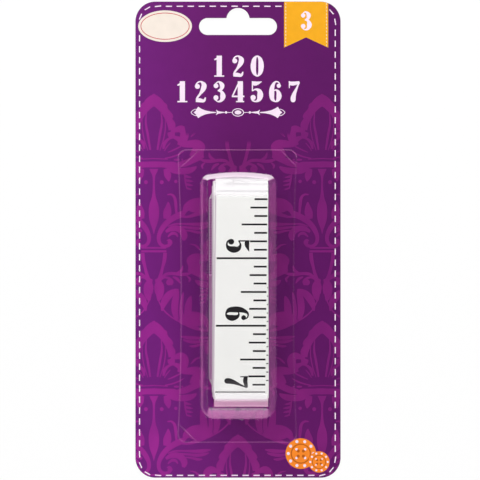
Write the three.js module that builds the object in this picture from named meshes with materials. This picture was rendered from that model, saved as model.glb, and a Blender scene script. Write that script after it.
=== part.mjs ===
// A sewing tape measure in its hanging pack: a flat-wound tape under a clear blister on a card.
// Millimetres. The card lies on its back: +Z out of its front, +Y towards the hang slot,
// and the origin is the middle of the card's back.

import * as THREE from 'three';

// Tape: a flat ribbon wound into a long coil with round bends at both ends
const tapeWidth = 20;
const tapeThickness = 0.42;
const windingLoops = 8;
const windingGap = 0.45;
const runLength = 69.1;
const tailReach = 3.1;
const innerEndLength = 40;
const outerTurnShift = 1.2;
const coreShiftFront = 0.1;
const coreShiftBack = -1.1;
const bendSteps = 12;

// Metal end tips: a strip of sheet folded over each end of the tape
const tipSheet = 0.25;
const tipLength = 9;
const tipOverhang = 0.4;
const crimpClearance = 0.05;
const tipEndClearance = 0.1;
const eyeClearance = 0.78;

// Blister: a drafted dome of thin clear sheet with a flat flange
const blisterSheet = 0.3;
const headroom = 0.9;
const frontSideClearance = 0.5;
const domeTopRoom = 2.9;
const domeBottomRoom = 5.1;
const sideDraft = 2.8;
const topDraft = 2.4;
const bottomDraft = 5.2;
const baseCornerRadius = 4.4;
const frontCornerRadius = 1.6;
const endArch = 0.5;
const shoulderRadius = 0.9;
const flareRadius = 0.4;
const flangeWidth = 8.5;
const flangeCornerRadius = 3.3;

// Card: printed board round the blister, with a hang slot above it
const cardThickness = 0.45;
const cardSideMargin = 16.2;
const cardTopMargin = 56.9;
const cardBottomMargin = 13.5;
const cardCornerRadius = 7.7;
const slotLength = 30;
const slotHeight = 6.5;
const slotFromTop = 9.6;
const humpRadius = 4.5;
const humpRise = 3.9;

// Sizes of the winding, from the inside out
const windingPitch = tapeThickness + windingGap;
const tipInnerHalf = tapeThickness / 2 + crimpClearance;
const tipOuterHalf = tipInnerHalf + tipSheet;
const eyeRadius = tipOuterHalf + eyeClearance + tapeThickness / 2;
const outerBendRadius = eyeRadius + (windingLoops - 1) * windingPitch;
const coilTopReach = outerBendRadius + tapeThickness / 2;
const coilBottomReach = coilTopReach - windingPitch / 2;
const coilLength = coilTopReach + runLength + coilBottomReach;

// Heights above the card's back
const cardFront = cardThickness;
const tailHeight = cardFront + tipOuterHalf;
const coilMiddle = tailHeight + outerBendRadius;
const coilFront = coilMiddle + coilTopReach;
const domeFront = coilFront + headroom + blisterSheet;

// The dome's outside at the card, from the coil and the room left round it
const coilRight = outerTurnShift + tapeWidth / 2;
const domeHalfWidth = coilRight + frontSideClearance + blisterSheet + sideDraft;
const domeLength = domeTopRoom + coilLength + tailReach + domeBottomRoom + 2 * blisterSheet;
const flangeHalfWidth = domeHalfWidth + flangeWidth;
const cardWidth = 2 * (flangeHalfWidth + cardSideMargin);
const cardLength = cardTopMargin + domeLength + 2 * flangeWidth + cardBottomMargin;

// Places along the card
const cardTop = cardLength / 2;
const domeTop = cardTop - cardTopMargin - flangeWidth;
const domeBottom = domeTop - domeLength;
const coilTop = domeTop - blisterSheet - domeTopRoom;
const topBendCentre = coilTop - coilTopReach;
const bottomBendCentre = topBendCentre - runLength;
const tailEnd = bottomBendCentre - coilBottomReach - tailReach;

// Colours read from the photograph
const cardMaterial = new THREE.MeshStandardMaterial({ color: 0x70226f, roughness: 0.35 });
const clearMaterial = new THREE.MeshStandardMaterial({
  color: 0xf4f0f6,
  roughness: 0.08,
  transparent: true,
  opacity: 0.25,
});
const tapeMaterial = new THREE.MeshStandardMaterial({ color: 0xefefed, roughness: 0.4 });
const tipMaterial = new THREE.MeshStandardMaterial({ color: 0xc9c4c8, roughness: 0.3, metalness: 1 });

function namedMesh(name, geometry, material) {
  const mesh = new THREE.Mesh(geometry, material);
  mesh.name = name;
  return mesh;
}

function indexedGeometry(vertices, triangles) {
  const geometry = new THREE.BufferGeometry();
  geometry.setAttribute('position', new THREE.Float32BufferAttribute(vertices.flat(), 3));
  geometry.setIndex(triangles.flat());
  geometry.computeVertexNormals();
  return geometry;
}

// Backing card

function roundedRectangle(halfWidth, halfLength, radius) {
  const shape = new THREE.Shape();
  const cornerX = halfWidth - radius;
  const cornerY = halfLength - radius;
  shape.absarc(cornerX, cornerY, radius, 0, Math.PI / 2);
  shape.absarc(-cornerX, cornerY, radius, Math.PI / 2, Math.PI);
  shape.absarc(-cornerX, -cornerY, radius, Math.PI, 1.5 * Math.PI);
  shape.absarc(cornerX, -cornerY, radius, 1.5 * Math.PI, 2 * Math.PI);
  return shape;
}

// A long round-ended slot with a round hump in the middle of its upper edge
function hangSlot() {
  const slot = new THREE.Path();
  const endRadius = slotHeight / 2;
  const endCentre = slotLength / 2 - endRadius;
  const middle = cardTop - slotFromTop;
  const humpCentre = middle + endRadius + humpRise - humpRadius;
  const humpStart = Math.asin((humpRadius - humpRise) / humpRadius);
  slot.absarc(endCentre, middle, endRadius, -Math.PI / 2, Math.PI / 2);
  slot.absarc(0, humpCentre, humpRadius, humpStart, Math.PI - humpStart);
  slot.absarc(-endCentre, middle, endRadius, Math.PI / 2, 1.5 * Math.PI);
  return slot;
}

function backingCard() {
  const outline = roundedRectangle(cardWidth / 2, cardLength / 2, cardCornerRadius);
  outline.holes.push(hangSlot());
  const geometry = new THREE.ExtrudeGeometry(outline, {
    depth: cardThickness,
    bevelEnabled: false,
    curveSegments: 10,
  });
  return namedMesh('backing_card', geometry, cardMaterial);
}

// Blister shell

// One level of the shell: a rounded rectangle whose two short ends are slightly arched
function levelOutline(halfWidth, top, bottom, radius, arch) {
  const cornerSteps = 6;
  const archSteps = 6;
  const points = [];
  const cornerX = halfWidth - radius;
  const addCorner = (x, y, quarter) => {
    for (let i = 0; i <= cornerSteps; i += 1) {
      const angle = (Math.PI / 2) * (quarter + i / cornerSteps);
      points.push([x + radius * Math.cos(angle), y + radius * Math.sin(angle)]);
    }
  };
  const addArch = (y, side) => {
    for (let i = 1; i < archSteps; i += 1) {
      const across = 1 - (2 * i) / archSteps;
      points.push([side * cornerX * across, y - side * arch * across * across]);
    }
  };
  addCorner(cornerX, top - arch - radius, 0);
  addArch(top, 1);
  addCorner(-cornerX, top - arch - radius, 1);
  addCorner(-cornerX, bottom + arch + radius, 2);
  addArch(bottom, -1);
  addCorner(cornerX, bottom + arch + radius, 3);
  return points;
}

// One skin of the dome, from the flange up: a flare, a drafted wall and a round shoulder.
// inward is the skin's distance inside the dome's outer face.
function domeLevels(inward) {
  const flareSteps = 3;
  const shoulderSteps = 4;
  const base = cardFront + blisterSheet - inward;
  const front = domeFront - inward;
  const flare = flareRadius + inward;
  const shoulder = shoulderRadius - inward;
  const levels = [];
  const addLevel = (height, grow) => {
    const rise = (height - base) / (front - base);
    const cornerRadius = baseCornerRadius + (frontCornerRadius - baseCornerRadius) * rise;
    const outset = grow - inward;
    levels.push({
      height,
      outline: levelOutline(
        domeHalfWidth - sideDraft * rise + outset,
        domeTop - topDraft * rise + outset,
        domeBottom + bottomDraft * rise - outset,
        cornerRadius + outset,
        endArch,
      ),
    });
  };
  for (let i = 0; i <= flareSteps; i += 1) {
    const angle = (Math.PI / 2) * (i / flareSteps);
    addLevel(base + flare * (1 - Math.cos(angle)), flare * (1 - Math.sin(angle)));
  }
  for (let i = 0; i <= shoulderSteps; i += 1) {
    const angle = (Math.PI / 2) * (i / shoulderSteps);
    addLevel(front - shoulder * (1 - Math.sin(angle)), -shoulder * (1 - Math.cos(angle)));
  }
  return levels;
}

// Joins a chain of outlines with the same number of points, and closes both ends with a fan
function skinBetween(levels) {
  const count = levels[0].outline.length;
  const vertices = [];
  const triangles = [];
  levels.forEach(({ height, outline }) => {
    outline.forEach(([x, y]) => vertices.push([x, y, height]));
  });
  for (let level = 0; level < levels.length - 1; level += 1) {
    for (let i = 0; i < count; i += 1) {
      const next = (i + 1) % count;
      const low = level * count;
      const high = low + count;
      triangles.push([low + i, low + next, high + next]);
      triangles.push([low + i, high + next, high + i]);
    }
  }
  const addCap = (level, flipped) => {
    const centre = vertices.length;
    const first = level * count;
    vertices.push([0, (domeTop + domeBottom) / 2, levels[level].height]);
    for (let i = 0; i < count; i += 1) {
      const next = (i + 1) % count;
      triangles.push(flipped ? [centre, first + next, first + i] : [centre, first + i, first + next]);
    }
  };
  addCap(0, true);
  addCap(levels.length - 1, false);
  return indexedGeometry(vertices, triangles);
}

function blisterShell() {
  const flangeOutline = levelOutline(
    flangeHalfWidth,
    domeTop + flangeWidth,
    domeBottom - flangeWidth,
    flangeCornerRadius,
    0,
  );
  const chain = [
    ...domeLevels(blisterSheet).reverse(),
    { height: cardFront, outline: flangeOutline },
    { height: cardFront + blisterSheet, outline: flangeOutline },
    ...domeLevels(0),
  ];
  return namedMesh('blister_shell', skinBetween(chain), clearMaterial);
}

// Tape

function smoothStep(value) {
  return value * value * (3 - 2 * value);
}

// The middle line of the winding from its outer end inwards. Each station holds the sideways
// shift, the place along and above the card, and the direction out of the coil.
function windingStations() {
  const stations = [];
  const addEnd = (shift, along, height, out) => {
    stations.push({ shift, along, height, outAlong: 0, outHeight: out });
  };
  const addBend = (centreAlong, centreHeight, radius, startAngle, shiftFrom, shiftTo) => {
    for (let i = 0; i <= bendSteps; i += 1) {
      const angle = startAngle + Math.PI * (i / bendSteps);
      const outAlong = Math.cos(angle);
      const outHeight = Math.sin(angle);
      stations.push({
        shift: shiftFrom + (shiftTo - shiftFrom) * smoothStep(i / bendSteps),
        along: centreAlong + radius * outAlong,
        height: centreHeight + radius * outHeight,
        outAlong,
        outHeight,
      });
    }
  };
  const coreShiftMiddle = (coreShiftFront + coreShiftBack) / 2;
  addEnd(outerTurnShift, tailEnd + tipOuterHalf + tipEndClearance, tailHeight, -1);
  for (let loop = 0; loop < windingLoops; loop += 1) {
    const outer = loop === 0;
    const innermost = loop === windingLoops - 1;
    const radius = outerBendRadius - loop * windingPitch;
    const backShift = outer ? outerTurnShift : coreShiftBack;
    const frontShift = outer ? outerTurnShift : coreShiftFront;
    const nextShift = innermost ? coreShiftMiddle : coreShiftBack;
    const lowerRadius = innermost ? radius / 2 : radius - windingPitch / 2;
    const lowerCentre = coilMiddle + radius - lowerRadius;
    addBend(topBendCentre, coilMiddle, radius, -Math.PI / 2, backShift, frontShift);
    addBend(bottomBendCentre, lowerCentre, lowerRadius, Math.PI / 2, frontShift, nextShift);
  }
  addEnd(coreShiftMiddle, bottomBendCentre + innerEndLength, coilMiddle, -1);
  return stations;
}

// The clear distance between stretches of the winding that aren't neighbours along it
function leastWindingGap(stations) {
  const spacing = 0.4;
  const apart = Math.PI * eyeRadius;
  const samples = [];
  let travelled = 0;
  for (let i = 0; i < stations.length - 1; i += 1) {
    const from = stations[i];
    const to = stations[i + 1];
    const length = Math.hypot(to.along - from.along, to.height - from.height);
    const pieces = Math.max(1, Math.ceil(length / spacing));
    for (let piece = 0; piece < pieces; piece += 1) {
      const share = piece / pieces;
      samples.push({
        along: from.along + (to.along - from.along) * share,
        height: from.height + (to.height - from.height) * share,
        travelled: travelled + length * share,
      });
    }
    travelled += length;
  }
  let least = Infinity;
  for (let i = 0; i < samples.length; i += 1) {
    for (let j = i + 1; j < samples.length; j += 1) {
      if (samples[j].travelled - samples[i].travelled > apart) {
        const along = samples[j].along - samples[i].along;
        const height = samples[j].height - samples[i].height;
        least = Math.min(least, along * along + height * height);
      }
    }
  }
  return Math.sqrt(least) - tapeThickness;
}

function tape(stations) {
  const half = tapeThickness / 2;
  const vertices = [];
  const triangles = [];
  stations.forEach(({ shift, along, height, outAlong, outHeight }) => {
    [[-1, -1], [1, -1], [1, 1], [-1, 1]].forEach(([side, face]) => {
      vertices.push([
        shift + (side * tapeWidth) / 2,
        along + face * half * outAlong,
        height + face * half * outHeight,
      ]);
    });
  });
  for (let station = 0; station < stations.length - 1; station += 1) {
    for (let corner = 0; corner < 4; corner += 1) {
      const next = (corner + 1) % 4;
      const here = station * 4;
      const there = here + 4;
      triangles.push([here + corner, here + next, there + next]);
      triangles.push([here + corner, there + next, there + corner]);
    }
  }
  const last = (stations.length - 1) * 4;
  triangles.push([0, 3, 2], [0, 2, 1]);
  triangles.push([last, last + 1, last + 2], [last, last + 2, last + 3]);
  return namedMesh('tape', indexedGeometry(vertices, triangles), tapeMaterial);
}

// End tips

// The fold seen edge-on: both leaves run from the mouth back to a round fold at the origin
function tipProfile() {
  const profile = new THREE.Shape();
  profile.moveTo(tipLength, -tipOuterHalf);
  profile.lineTo(tipLength, -tipInnerHalf);
  profile.absarc(tipOuterHalf, 0, tipInnerHalf, 1.5 * Math.PI, Math.PI / 2, true);
  profile.lineTo(tipLength, tipInnerHalf);
  profile.lineTo(tipLength, tipOuterHalf);
  profile.absarc(tipOuterHalf, 0, tipOuterHalf, Math.PI / 2, 1.5 * Math.PI);
  return profile;
}

// A tip over an end of the tape: end is where its fold lies, and inward is +1 or -1 along the card
function endTip(name, shift, end, height, inward) {
  const tipWidth = tapeWidth + 2 * tipOverhang;
  const geometry = new THREE.ExtrudeGeometry(tipProfile(), {
    depth: tipWidth,
    bevelEnabled: false,
    curveSegments: 8,
  });
  const alongTape = new THREE.Vector3(0, inward, 0);
  const outOfCard = new THREE.Vector3(0, 0, 1);
  const acrossTape = new THREE.Vector3(inward, 0, 0);
  geometry.applyMatrix4(new THREE.Matrix4().makeBasis(alongTape, outOfCard, acrossTape));
  const mesh = namedMesh(name, geometry, tipMaterial);
  mesh.position.set(shift - (inward * tipWidth) / 2, end, height);
  return mesh;
}

const stations = windingStations();
const innerEnd = stations[stations.length - 1];
const innerFold = innerEnd.along + tipEndClearance + tipOuterHalf;

console.log(`least gap of the winding to itself: ${leastWindingGap(stations).toFixed(3)} mm`);

const pack = new THREE.Group();
pack.add(backingCard());
pack.add(blisterShell());
pack.add(tape(stations));
pack.add(endTip('outer_end_tip', outerTurnShift, tailEnd, tailHeight, 1));
pack.add(endTip('inner_end_tip', innerEnd.shift, innerFold, innerEnd.height, -1));

export default pack;
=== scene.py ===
import bmesh
import bpy
import math
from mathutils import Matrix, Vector
from mathutils.geometry import delaunay_2d_cdt


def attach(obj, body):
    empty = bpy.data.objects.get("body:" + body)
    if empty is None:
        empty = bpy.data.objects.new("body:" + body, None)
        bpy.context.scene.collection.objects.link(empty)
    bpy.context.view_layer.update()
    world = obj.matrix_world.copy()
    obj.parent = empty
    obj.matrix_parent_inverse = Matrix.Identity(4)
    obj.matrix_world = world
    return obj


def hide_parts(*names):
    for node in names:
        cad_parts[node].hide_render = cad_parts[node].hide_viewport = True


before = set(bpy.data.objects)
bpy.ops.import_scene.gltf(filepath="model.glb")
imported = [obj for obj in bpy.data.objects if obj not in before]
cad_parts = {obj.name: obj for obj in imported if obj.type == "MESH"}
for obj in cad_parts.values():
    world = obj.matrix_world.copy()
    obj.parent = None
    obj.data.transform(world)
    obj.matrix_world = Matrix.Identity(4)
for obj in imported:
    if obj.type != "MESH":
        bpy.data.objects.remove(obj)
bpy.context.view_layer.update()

# All sizes are in millimetres until a mesh is made.
MM = 0.001

# The card and the places of its print, measured from the middle of the card
CARD_HALF_WIDTH = 39.5
CARD_HALF_LENGTH = 91.68
CARD_FRONT = 0.45
CARD_CORNER = 7.7
INK = 0.012
FINEST_LINE = 0.02
TAG_LEFT, TAG_RIGHT = 17.75, 34.75
TAG_POINTS, TAG_NOTCH = 73.95, 77.9
OVAL_PLACE = (-28.08, 82.21)
DAMASK_TOP = 62

# The tape's route, close to the CAD model
TAPE_WIDTH = 20
COIL_MIDDLE = 8.55
TOP_BEND = 15.28
BOTTOM_BEND = -53.0
COIL_RADIUS = 7.8
EYE_RADIUS = 1.5
TAIL_END = -64.28
TIP_COVER = 0.7
INNER_END = -13.82
BACK_SHIFT = -1.1
INNER_SHIFT = -0.5

# The real winding: 18 turns of thin tape that touch
LOOPS = 18
TAPE_THICKNESS = 0.35
PITCH = (COIL_RADIUS - TAPE_THICKNESS / 2 - EYE_RADIUS) / (LOOPS - 1)
LOWER_RADIUS = COIL_RADIUS - PITCH / 2

# Its scale. Travel along the outer turn counts from the 5 inch line, on down the front run.
INCH = 25.4
FIFTH_INCH_LINE = -7.0
FRONT_START = FIFTH_INCH_LINE - TOP_BEND
FRONT_END = FIFTH_INCH_LINE - BOTTOM_BEND
PRINT_START, PRINT_END = -4 * INCH, 2.5 * INCH
EIGHTH_TICK = 4.85
NUMERAL_FOOT = -5.75

# The blister, close to the CAD model
SHEET = 0.27
SHEET_BACK = 0.48
DOME_FRONT = 17.55
DOME_HALF_WIDTH = 14.65
DOME_FOOT_SHIFT = 0.15
DOME_TOP = 26.05
DOME_BOTTOM = -69.2
SIDE_DRAFT = 2.65
TOP_DRAFT = 2.2
BOTTOM_DRAFT = 4.7
BASE_TOP_CORNER = 3.6
BASE_BOTTOM_CORNER = 5.6
FRONT_CORNER = 1.6
TOP_ARCH = 0.85
BOTTOM_ARCH = 0.1
SHOULDER = 0.9
FLARE = 0.25
FLANGE_HALF_WIDTH = 23.0
FLANGE_WAIST = 1.15
FLANGE_SHIFT = -0.25
FLANGE_TOP = 34.78
FLANGE_BOTTOM = -78.18
FLANGE_CORNER = 3.3
# Where the painted highlight over the tape's bends lies on the front panel
BEND_HIGHLIGHT_MIDDLE = 1.3
BEND_HIGHLIGHT_TOP, BEND_HIGHLIGHT_BOTTOM = 25, -65

# The camera looks straight down on the card from 700 mm
CAMERA_PLACE = (0.78, -0.14, 700)
PIXELS_PER_MM = 2.595
PICTURE_SIDE = 480
SENSOR = 36


def srgb(code):
    """A hex colour as linear RGBA."""
    parts = [int(code[i:i + 2], 16) / 255 for i in (1, 3, 5)]
    return [c / 12.92 if c <= 0.04045 else ((c + 0.055) / 1.055) ** 2.4 for c in parts] + [1.0]


def nodes_of(tree):
    """A function that adds a node with its settings to a tree. An input is a value, an output socket to
    link from, or a node, whose first output is linked. Shader nodes are named without their prefix."""
    def add(kind, inputs=None, **settings):
        made = tree.nodes.new(kind if "Node" in kind else "ShaderNode" + kind)
        for name, value in settings.items():
            setattr(made, name, value)
        for key, value in (inputs or {}).items():
            if isinstance(value, bpy.types.Node):
                value = value.outputs[0]
            if isinstance(value, bpy.types.NodeSocket):
                tree.links.new(value, made.inputs[key])
            else:
                made.inputs[key].default_value = value
        return made

    return add


def material(name, looks, *settings):
    """A material with the surface that looks returns, given the function that adds nodes and settings."""
    made = bpy.data.materials.new(name)
    made.use_nodes = True
    made.node_tree.nodes.clear()
    add = nodes_of(made.node_tree)
    add("OutputMaterial", {"Surface": looks(add, *settings)})
    return made


# Materials

def purple_across(add, place, left, middle, right):
    """A purple that changes slowly from the lower left to the upper right: print and painted light from the
    left.
    """
    apart = add("SeparateXYZ", {0: place})
    askew = add("Math", {0: apart.outputs["Y"], 1: 0.1, 2: apart.outputs["X"]}, operation="MULTIPLY_ADD")
    across = add("MapRange", {"Value": askew, "From Min": -38 * MM, "From Max": 38 * MM})
    ramp = add("ValToRGB", {"Fac": across})
    stops = ramp.color_ramp.elements
    stops[0].color, stops[1].color = srgb(left), srgb(right)
    stops.new(0.5).color = srgb(middle)
    return ramp


def card_ground(add, place):
    """The purple of the card: bluer and lighter to the left, darker to the right, partly painted light."""
    return purple_across(add, place, "#6c1a74", "#5f1161", "#570d5a")


def clouded(add, place, colour, scale, depth):
    """A printed colour with the faint cloudiness of a solid area."""
    mottle = add("TexNoise", {"Vector": place, "Scale": scale, "Detail": 2.0})
    shade = add("MapRange", {"Value": mottle, "To Min": 1 - depth, "To Max": 1 + depth})
    mixed = add("Mix", {0: 1.0, 6: colour, 7: shade}, data_type="RGBA", blend_type="MULTIPLY")
    return mixed.outputs[2]


def damask_ink(add):
    """The ground's purple printed lighter: a tone-on-tone pattern that fades out before the heading."""
    place = add("TexCoord").outputs["Object"]
    # It starts lower in the middle of the card than beside the heading
    apart = add("SeparateXYZ", {0: place})
    aside = add("Math", {0: apart.outputs["X"]}, operation="ABSOLUTE")
    inner = add("MapRange", {
        "Value": aside, "From Min": 6 * MM, "From Max": 10 * MM, "To Min": 38.5 * MM, "To Max": 41.5 * MM})
    outer = add("MapRange", {"Value": aside, "From Min": 20 * MM, "From Max": 24 * MM, "To Max": 20.5 * MM})
    start = add("Math", {0: inner, 1: outer}, operation="ADD")
    below = add("Math", {0: start, 1: apart.outputs["Y"]}, operation="SUBTRACT")
    fade = add("MapRange", {"Value": below, "From Max": 2 * MM}, interpolation_type="SMOOTHSTEP")
    pale = purple_across(add, place, "#97248a", "#841f76", "#77186d")
    patchy = add("TexNoise", {"Vector": place, "Scale": 90.0, "Detail": 2.0})
    strength = add("MapRange", {
        "Value": patchy, "From Min": 0.3, "From Max": 0.7, "To Min": 0.65, "To Max": 1.0})
    share = add("Math", {0: fade, 1: strength}, operation="MULTIPLY")
    tint = add("Mix", {0: share, 6: card_ground(add, place), 7: pale}, data_type="RGBA")
    return add("BsdfPrincipled", {
        "Base Color": tint.outputs[2], "Roughness": 0.42, "Specular IOR Level": 0.25})


def varnished_board(add):
    """Offset print on white carton under a gloss varnish: a deep even purple with a soft sheen,
    white paper at the cut edges and plain grey-white board at the back."""
    place = add("TexCoord").outputs["Object"]
    height = add("SeparateXYZ", {0: place}).outputs["Z"]
    printed = add("Math", {0: height, 1: (CARD_FRONT - 0.02) * MM}, operation="GREATER_THAN")
    # Paper fibres about 0.6 mm long, just strong enough to show
    fibres = add("TexNoise", {"Vector": place, "Scale": 1600.0, "Detail": 3.0, "Roughness": 0.6})
    board = add("Mix", {0: fibres, 6: srgb("#d9d4cd"), 7: srgb("#efece6")}, data_type="RGBA")
    ground = clouded(add, place, card_ground(add, place), 220.0, 0.07)
    colour = add("Mix", {0: printed, 6: board.outputs[2], 7: ground}, data_type="RGBA")
    gloss = add("MapRange", {"Value": printed, "To Min": 0.8, "To Max": 0.42})
    bump = add("Bump", {"Strength": 0.08, "Distance": 0.0001, "Height": fibres})
    return add("BsdfPrincipled", {
        "Base Color": colour.outputs[2], "Roughness": gloss, "Normal": bump, "Specular IOR Level": 0.25})


def printing_ink(add, colour, roughness=0.42):
    """Offset ink under the card's varnish: an even colour with a soft sheen."""
    tint = clouded(add, add("TexCoord").outputs["Object"], srgb(colour), 300.0, 0.06)
    return add("BsdfPrincipled", {"Base Color": tint, "Roughness": roughness, "Specular IOR Level": 0.25})


def coated_cloth(add, dark, light, edge):
    """Vinyl-coated glass-fibre cloth, calendered: one colour with a satin gloss, and the weave of
    0.5 mm yarns shows faintly through the coating. Yarns are drawn 0.8 mm apart so that they show."""
    along = add("UVMap", uv_map="tape")
    yarns = add("TexWave", {"Vector": along, "Scale": 390.0}, bands_direction="X")
    wefts = add("TexWave", {"Vector": along, "Scale": 390.0}, bands_direction="Y")
    weave = add("Math", {0: yarns.outputs["Fac"], 1: wefts.outputs["Fac"]}, operation="MULTIPLY")
    soil = add("TexNoise", {"Vector": along, "Scale": 90.0, "Detail": 3.0})
    middle = add("Mix", {0: soil, 6: srgb(dark), 7: srgb(light)}, data_type="RGBA")
    # Painted shade: the last half millimetre along the left edge is greyer and lilac, as the coil's edges lie
    # in shade
    across = add("SeparateXYZ", {0: along}).outputs["X"]
    thin = add("MapRange", {
        "Value": across, "From Min": (0.6 - TAPE_WIDTH / 2) * MM, "From Max": (0.3 - TAPE_WIDTH / 2) * MM})
    colour = add("Mix", {0: thin, 6: middle.outputs[2], 7: srgb(edge)}, data_type="RGBA")
    bump = add("Bump", {"Strength": 0.12, "Distance": 0.00005, "Height": weave})
    return add("BsdfPrincipled", {"Base Color": colour.outputs[2], "Roughness": 0.4, "Normal": bump})


def plated_steel(add, tint):
    """Nickel-plated sheet steel, rolled and folded: bright, with fine lines along the rolling. Its base
    colour is tinted pink, a painted reflection of the purple and lilac round it."""
    place = add("TexCoord").outputs["Object"]
    stretched = add("Mapping", {"Vector": place, "Scale": (60.0, 2600.0, 2600.0)})
    lines = add("TexNoise", {"Vector": stretched, "Scale": 1.0, "Detail": 3.0})
    rough = add("MapRange", {"Value": lines, "To Min": 0.45, "To Max": 0.6})
    bump = add("Bump", {"Strength": 0.1, "Distance": 0.00003, "Height": lines})
    return add("BsdfPrincipled", {
        "Base Color": srgb(tint), "Metallic": 1.0, "Roughness": rough, "Normal": bump})


def clear_sheet(add):
    """Clear PVC sheet, drawn over a mould by vacuum: glassy on its front and flange. Its walls and cut edge
    carry some haze and a painted highlight. Lamps reach through it to the tape and the card."""
    clear = add("BsdfTransparent", {"Color": srgb("#fefdfe")})
    gloss = add("BsdfGlossy", {"Color": srgb("#ffffff"), "Roughness": 0.04})
    # The gloss of one surface of a thin sheet, the same from both sides: faint face on, strong at a glance
    facing = add("LayerWeight", {"Blend": 0.5}).outputs["Facing"]
    glance = add("Math", {0: facing, 1: 5.0}, operation="POWER")
    mirror = add("MapRange", {"Value": glance, "To Min": 0.012, "To Max": 0.2})
    film = add("MixShader", {0: mirror, 1: clear, 2: gloss})
    # Haze and painted highlight: thin, it is pink, a painted reflection of the card below; dense, it is
    # nearly white
    haze_and_highlight = add("Attribute", attribute_name="haze_and_highlight").outputs["Fac"]
    dense = add("MapRange", {"Value": haze_and_highlight, "From Min": 0.2, "From Max": 0.7})
    tint = add("Mix", {0: dense, 6: srgb("#fb9fe0"), 7: srgb("#f7eaf4")}, data_type="RGBA")
    # Painted highlight: the front panel is whitened over both bends of the tape, for the shine of the bends
    # in the lamps' light
    place = add("TexCoord").outputs["Object"]
    apart = add("SeparateXYZ", {0: place})
    on_front = add("Math", {0: apart.outputs["Z"], 1: (DOME_FRONT - 0.4) * MM}, operation="GREATER_THAN")
    beside = add("Math", {0: apart.outputs["X"], 1: BEND_HIGHLIGHT_MIDDLE * MM}, operation="SUBTRACT")
    beside = add("Math", {0: beside}, operation="ABSOLUTE")
    bend_highlight = add("MapRange", {
        "Value": beside, "From Min": 9.5 * MM, "From Max": 10.2 * MM, "To Min": 1.0, "To Max": 0.0})
    ends = add("ValToRGB", {"Fac": add("MapRange", {
        "Value": apart.outputs["Y"], "From Min": BEND_HIGHLIGHT_BOTTOM * MM, "From Max": BEND_HIGHLIGHT_TOP * MM})})
    stops = ends.color_ramp.elements
    stops[0].position, stops[0].color = 0.045, (0, 0, 0, 1)
    stops[1].position, stops[1].color = 0.985, (.35, .35, .35, 1)
    for spot, white in ((0.06, .5), (0.076, .36), (0.085, .12), (0.1, .05), (0.14, 0), (0.895, 0),
                        (0.915, .4), (0.93, .64), (0.955, .58), (0.965, .42), (0.973, .42)):
        stops.new(spot).color = (white, white, white, 1)
    for factor in (ends, on_front):
        bend_highlight = add("Math", {0: bend_highlight, 1: factor}, operation="MULTIPLY")
    share = add("Math", {0: haze_and_highlight, 1: bend_highlight}, operation="ADD", use_clamp=True)
    pale = add("Mix", {0: on_front, 6: tint.outputs[2], 7: srgb("#f4f1f4")}, data_type="RGBA")
    hazy_highlight = add("BsdfPrincipled", {
        "Base Color": pale.outputs[2], "Roughness": 0.35, "Specular IOR Level": 0.15})
    body = add("MixShader", {0: share, 1: film, 2: hazy_highlight})
    path = add("LightPath")
    passing = add("Math", {
        0: path.outputs["Is Shadow Ray"], 1: path.outputs["Is Diffuse Ray"]}, operation="MAXIMUM")
    return add("MixShader", {0: passing, 1: body, 2: clear})


def paper_sweep(add):
    """White studio paper, lit until it is nearly pure white to the camera and in the gloss of the sheet."""
    path = add("LightPath")
    seen = path.outputs["Is Camera Ray"]
    for ray in ("Is Glossy Ray", "Is Transmission Ray"):
        seen = add("Math", {0: seen, 1: path.outputs[ray]}, operation="MAXIMUM")
    paper = add("BsdfDiffuse", {"Color": srgb("#f2f2f2")})
    glow = add("Emission", {"Color": (1, 1, 1, 1), "Strength": 1.0})
    share = add("Math", {0: seen, 1: 0.88}, operation="MULTIPLY")
    return add("MixShader", {0: share, 1: paper, 2: glow})


# Meshes

def new_object(name, data):
    made = bpy.data.objects.new(name, data)
    bpy.context.scene.collection.objects.link(made)
    return made


def mesh_piece(name, vertices, faces, *materials, edges=(), smooth=None):
    """A piece from vertices in millimetres, at the origin."""
    mesh = bpy.data.meshes.new(name)
    mesh.from_pydata([[c * MM for c in v] for v in vertices], edges, faces)
    for made in materials:
        mesh.materials.append(made)
    if smooth is not None:
        mesh.shade_smooth()
        mesh.set_sharp_from_angle(angle=math.radians(smooth))
    return new_object(name, mesh)


def closed_skin(rows):
    """Vertices and faces of a skin over rows of points, closed at both ends."""
    count = len(rows[0])
    last = (len(rows) - 1) * count
    faces = [[low + k, low + (k + 1) % count, low + count + (k + 1) % count, low + count + k]
             for low in range(0, last, count) for k in range(count)]
    faces += [list(range(count))[::-1], [last + k for k in range(count)]]
    return [point for row in rows for point in row], faces


def smooth_line(points, steps):
    """A smooth line through points with any number of values each, with steps between each two."""
    line = []
    last = len(points) - 1
    for i in range(last):
        before, here = points[max(i - 1, 0)], points[i]
        there, after = points[i + 1], points[min(i + 2, last)]
        for step in range(steps):
            t = step / steps
            line.append([
                0.5 * (2 * b + (c - a) * t + (2 * a - 5 * b + 4 * c - d) * t ** 2
                       + (3 * b - a - 3 * c + d) * t ** 3)
                for a, b, c, d in zip(before, here, there, after)])
    line.append(list(points[last]))
    return line


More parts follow.
